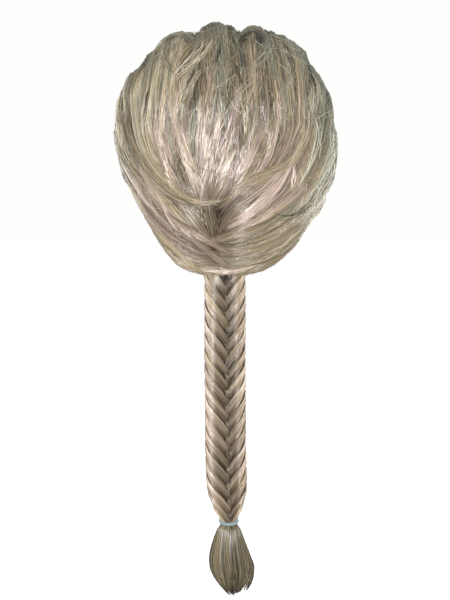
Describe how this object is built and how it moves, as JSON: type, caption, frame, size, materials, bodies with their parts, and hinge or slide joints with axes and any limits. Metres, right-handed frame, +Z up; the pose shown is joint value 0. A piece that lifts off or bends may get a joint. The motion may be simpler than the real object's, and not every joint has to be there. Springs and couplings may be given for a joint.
{
  "type": "wig with a fishtail braid",
  "caption": "Combed-back false hair on a drawstring cap, gathered at the nape into a long fishtail braid that ends in an elastic tie and a loose brush of hair.",
  "frame": {"origin": "inside of the cap's crown, where it sits on the top of the head", "axes": "+Z up, +Y the way the wearer faces, +X to the wearer's right; the braid hangs down -Z behind the neck"},
  "size_m": [0.2038, 0.2256, 0.5173],
  "materials": {
    "hair": "satin synthetic fibre, ash blonde",
    "cap": "matt woven net",
    "cord": "twisted cord",
    "tie": "pale elastic"
  },
  "bodies": {
    "root": {"cap": "cap", "drawstring": "cord", "crown_hair": "hair", "left_hair": "hair", "right_hair": "hair", "nape_hair": "hair", "braid": "hair", "hair_tie": "tie", "tail": "hair"}
  },
  "joints": []
}
